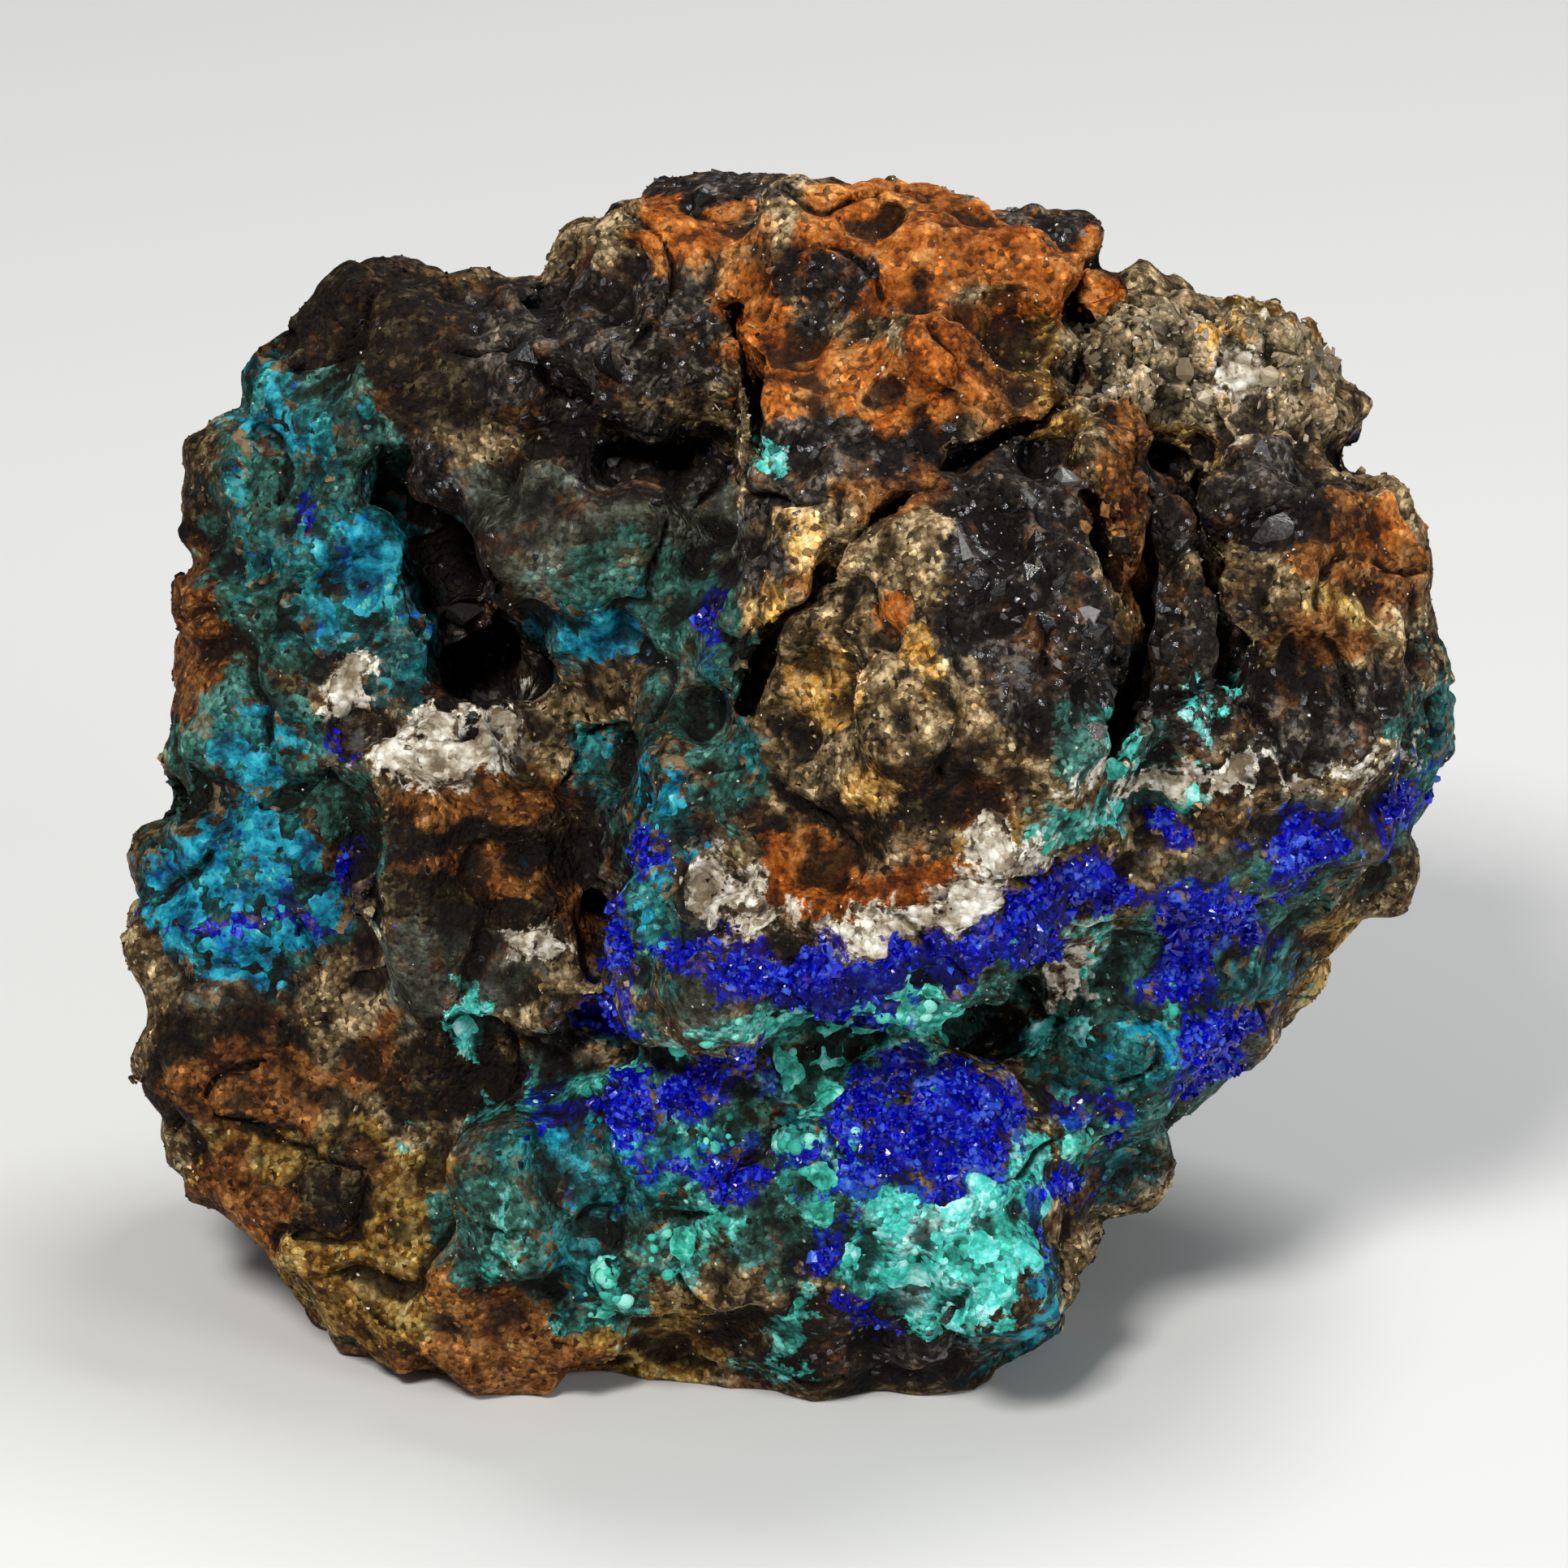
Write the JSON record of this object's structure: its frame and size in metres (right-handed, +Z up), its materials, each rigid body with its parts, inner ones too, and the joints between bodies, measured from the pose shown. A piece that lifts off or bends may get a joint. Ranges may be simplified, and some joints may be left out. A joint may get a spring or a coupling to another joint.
{
  "type": "chrysocolla and malachite specimen",
  "caption": "Hand-sized lump of copper ore with a broken, lumpy display face, deep cracks and pits, flat underneath so that it stands leaning back.",
  "frame": {"origin": "the middle of the part's outer box, at the level of the flat base that it stands on", "axes": "+Z up; +X to the right of the display face and along the specimen's longest extent; the display face looks towards -Y and 20 degrees upwards"},
  "size_m": [0.0634, 0.0482, 0.0537],
  "materials": {
    "ore_rock": "rough broken stone, rusty brown to dark grey with fine sparkle",
    "azurite": "deep blue, small glittering crystals",
    "malachite": "pale green crust, waxy to silky",
    "chrysocolla": "turquoise crust, waxy",
    "quartz": "grey-white to cream, cloudy, glassy lustre",
    "iron_ochre": "earthy orange to yellow rust, matte",
    "dark_ore": "black, metallic glitter on broken facets"
  },
  "bodies": {
    "root": {"ore_specimen": "ore_rock"}
  },
  "joints": []
}
